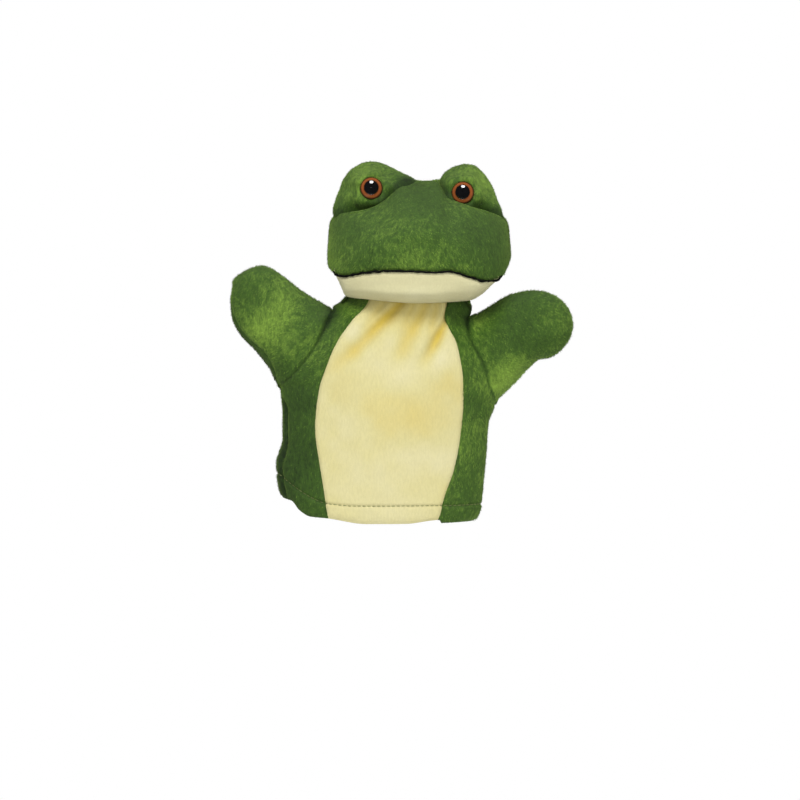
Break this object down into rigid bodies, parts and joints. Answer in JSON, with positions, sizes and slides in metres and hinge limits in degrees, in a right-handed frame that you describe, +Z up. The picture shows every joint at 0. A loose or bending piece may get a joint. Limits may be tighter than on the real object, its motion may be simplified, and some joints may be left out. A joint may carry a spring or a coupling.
{
  "type": "hand puppet",
  "caption": "Plush frog hand puppet with a stuffed nodding head, two mitten arms that raise and fold forward, and an open hem for the hand.",
  "frame": {"origin": "centre of the hand opening, in the plane of the hem's lower edge", "axes": "+Z up the body to the head, -Y the way the face looks, +X the puppet's own left"},
  "size_m": [0.2154, 0.0937, 0.2237],
  "materials": {
    "green_plush": "short pile plush",
    "yellow_plush": "short pile plush",
    "cream_plush": "short pile plush",
    "black_thread": "embroidery thread",
    "hem_thread": "sewing thread",
    "label_tape": "woven tape, blank",
    "fibre_filling": "loose fibre",
    "lining_cloth": "plain woven cloth",
    "amber_eye": "polished",
    "black_eye": "polished",
    "washer_plastic": "moulded"
  },
  "bodies": {
    "body": {"body_back_panel": "green_plush", "right_flank_panel": "green_plush", "left_flank_panel": "green_plush", "belly_panel": "yellow_plush", "hem_stitching": "hem_thread", "care_label": "label_tape"},
    "right_shoulder": {"right_shoulder_front": "green_plush", "right_shoulder_back": "green_plush"},
    "right_arm": {"right_arm_front": "green_plush", "right_arm_back": "green_plush"},
    "left_shoulder": {"left_shoulder_front": "green_plush", "left_shoulder_back": "green_plush"},
    "left_arm": {"left_arm_front": "green_plush", "left_arm_back": "green_plush"},
    "neck": {"neck_front": "yellow_plush", "neck_back": "green_plush"},
    "head": {"snout_panel": "green_plush", "head_back_panel": "green_plush", "chin_panel": "cream_plush", "right_eye_mound": "green_plush", "left_eye_mound": "green_plush", "mouth_stitching": "black_thread", "head_stuffing": "fibre_filling", "finger_pocket": "lining_cloth", "right_eye_iris": "amber_eye", "right_eye_pupil": "black_eye", "right_eye_washer": "washer_plastic", "left_eye_iris": "amber_eye", "left_eye_pupil": "black_eye", "left_eye_washer": "washer_plastic"}
  },
  "joints": [
    {"name": "head_turn", "type": "hinge", "parent": "body", "child": "neck", "pos_m": [0.018, 0, 0.126], "axis": [0, 0, 1], "range_deg": [-25, 25]},
    {"name": "head_nod", "type": "hinge", "parent": "neck", "child": "head", "pos_m": [0.018, 0, 0.138], "axis": [1, 0, 0], "range_deg": [-15, 15]},
    {"name": "right_arm_raise", "type": "hinge", "parent": "body", "child": "right_shoulder", "pos_m": [-0.054, 0, 0.1145], "axis": [0, 1, 0], "range_deg": [-25, 15]},
    {"name": "right_arm_fold", "type": "hinge", "parent": "right_shoulder", "child": "right_arm", "pos_m": [-0.06551, 0, 0.12561], "axis": [0.6947, 0, 0.7193], "range_deg": [-10, 35]},
    {"name": "left_arm_raise", "type": "hinge", "parent": "body", "child": "left_shoulder", "pos_m": [0.0742, 0, 0.1056], "axis": [0, -1, 0], "range_deg": [-25, 15]},
    {"name": "left_arm_fold", "type": "hinge", "parent": "left_shoulder", "child": "left_arm", "pos_m": [0.08806, 0, 0.1136], "axis": [0.5, 0, -0.866], "range_deg": [-10, 35]}
  ]
}
